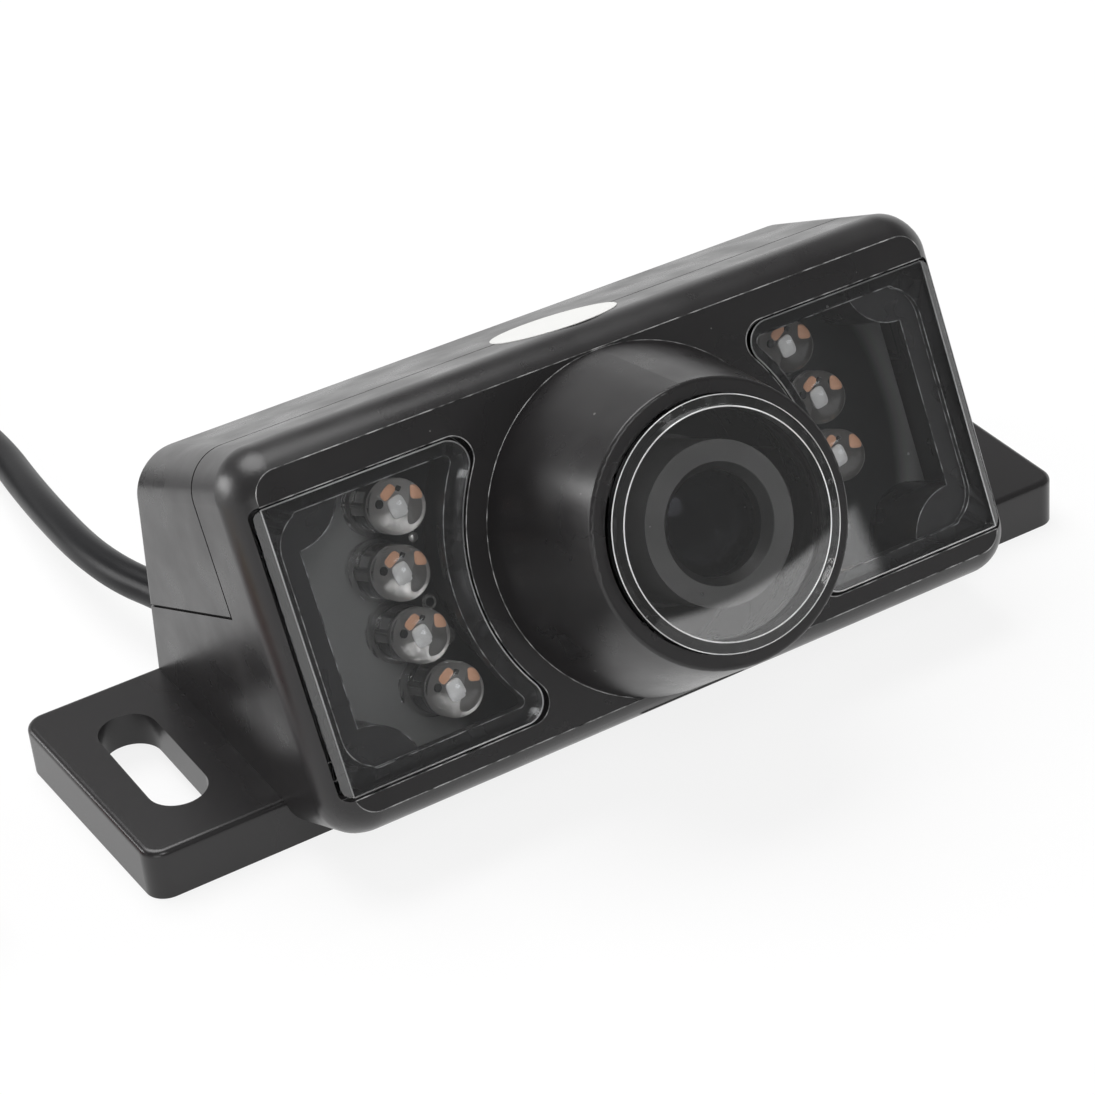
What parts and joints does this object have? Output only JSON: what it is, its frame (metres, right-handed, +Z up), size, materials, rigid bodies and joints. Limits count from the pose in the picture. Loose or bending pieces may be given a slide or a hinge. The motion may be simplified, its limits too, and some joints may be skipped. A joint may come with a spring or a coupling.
{
  "type": "vehicle backup camera",
  "caption": "Slanted wedge camera housing with a conical lens barrel, infrared LEDs behind two windows, slotted mounting ears and a cable that ends in a video and a power socket.",
  "frame": {"origin": "centre of the flat underside, midway between the two mounting slots", "axes": "+X along the housing, to the right for someone facing the lens; +Y towards the rear; +Z up, away from the mounting surface"},
  "size_m": [0.1417, 0.153, 0.0392],
  "materials": {
    "board": "dark solder mask",
    "cable_jacket": "satin",
    "connector": "natural nylon",
    "contact_metal": "nickel plated",
    "holder": "matt",
    "housing": "fine satin texture",
    "insulator": "satin",
    "led_resin": "water clear",
    "lens_metal": "black anodised",
    "light_sensor": "clear coat",
    "optical_glass": "polished",
    "power_red": "satin",
    "screw_steel": "zinc plated",
    "seal_rubber": "matt",
    "sensor": "polished",
    "video_yellow": "satin",
    "window": "clear smoked, polished"
  },
  "bodies": {
    "camera": {"board_connector": "connector", "cable": "cable_jacket", "cable_coil": "cable_jacket", "cable_end": "cable_jacket", "cable_gland": "seal_rubber", "camera_board": "board", "camera_board_screws": "screw_steel", "coil_tie": "cable_jacket", "cover_gasket": "seal_rubber", "cover_screws": "screw_steel", "front_element": "optical_glass", "front_housing": "housing", "glass_gasket": "seal_rubber", "image_sensor": "sensor", "infrared_filter": "optical_glass", "infrared_led_1": "led_resin", "infrared_led_2": "led_resin", "infrared_led_3": "led_resin", "infrared_led_4": "led_resin", "infrared_led_5": "led_resin", "infrared_led_6": "led_resin", "infrared_led_7": "led_resin", "led_board": "board", "led_board_screws": "screw_steel", "left_window": "window", "lens_barrel": "lens_metal", "lens_glass": "optical_glass", "lens_holder": "holder", "lens_lock_ring": "lens_metal", "light_sensor": "light_sensor", "power_boot": "power_red", "power_pin": "contact_metal", "power_sleeve": "contact_metal", "power_tail": "cable_jacket", "rear_cover": "housing", "rear_element": "optical_glass", "right_window": "window", "splitter": "cable_jacket", "video_boot": "video_yellow", "video_contact": "contact_metal", "video_insulator": "insulator", "video_shell": "contact_metal", "video_tail": "cable_jacket"}
  },
  "joints": []
}
